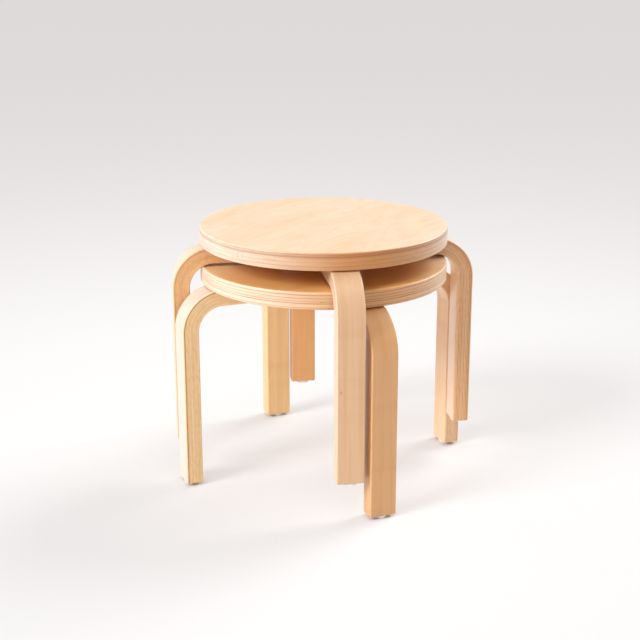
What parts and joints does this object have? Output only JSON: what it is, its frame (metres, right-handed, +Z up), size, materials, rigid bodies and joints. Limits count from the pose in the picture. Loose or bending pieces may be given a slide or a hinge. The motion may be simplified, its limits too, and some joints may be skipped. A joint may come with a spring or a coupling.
{
  "type": "stacking stool",
  "caption": "Low stacking stools nested with a slight turn: round plywood seats on bent wooden L-legs with plastic glides.",
  "frame": {"origin": "on the floor, under the common axis of both round seats, in the middle between the four lower feet", "axes": "+Z up along the stack axis; the camera of the picture looks along +Y, so -Y is the front and +X the right"},
  "size_m": [0.4318, 0.4318, 0.3625],
  "materials": {
    "seat_wood": "clear satin lacquer on birch plywood",
    "leg_wood": "clear satin lacquer on laminated birch",
    "glide_plastic": "plain moulded plastic",
    "screw_steel": "zinc-plated steel",
    "nail_steel": "plain steel"
  },
  "bodies": {
    "lower_stool": {"lower_seat": "seat_wood", "lower_leg_front": "leg_wood", "lower_leg_right": "leg_wood", "lower_leg_rear": "leg_wood", "lower_leg_left": "leg_wood", "lower_leg_screws_front": "screw_steel", "lower_leg_screws_right": "screw_steel", "lower_leg_screws_rear": "screw_steel", "lower_leg_screws_left": "screw_steel", "lower_glide_front": "glide_plastic", "lower_glide_right": "glide_plastic", "lower_glide_rear": "glide_plastic", "lower_glide_left": "glide_plastic", "lower_glide_nail_front": "nail_steel", "lower_glide_nail_right": "nail_steel", "lower_glide_nail_rear": "nail_steel", "lower_glide_nail_left": "nail_steel"},
    "upper_stool": {"upper_seat": "seat_wood", "upper_leg_front": "leg_wood", "upper_leg_right": "leg_wood", "upper_leg_rear": "leg_wood", "upper_leg_left": "leg_wood", "upper_leg_screws_front": "screw_steel", "upper_leg_screws_right": "screw_steel", "upper_leg_screws_rear": "screw_steel", "upper_leg_screws_left": "screw_steel", "upper_glide_front": "glide_plastic", "upper_glide_right": "glide_plastic", "upper_glide_rear": "glide_plastic", "upper_glide_left": "glide_plastic", "upper_glide_nail_front": "nail_steel", "upper_glide_nail_right": "nail_steel", "upper_glide_nail_rear": "nail_steel", "upper_glide_nail_left": "nail_steel"}
  },
  "joints": [
    {"name": "stack_lift", "type": "slide", "parent": "lower_stool", "child": "upper_stool", "axis": [0, 0, 1], "range_m": [0, 0.265]}
  ]
}
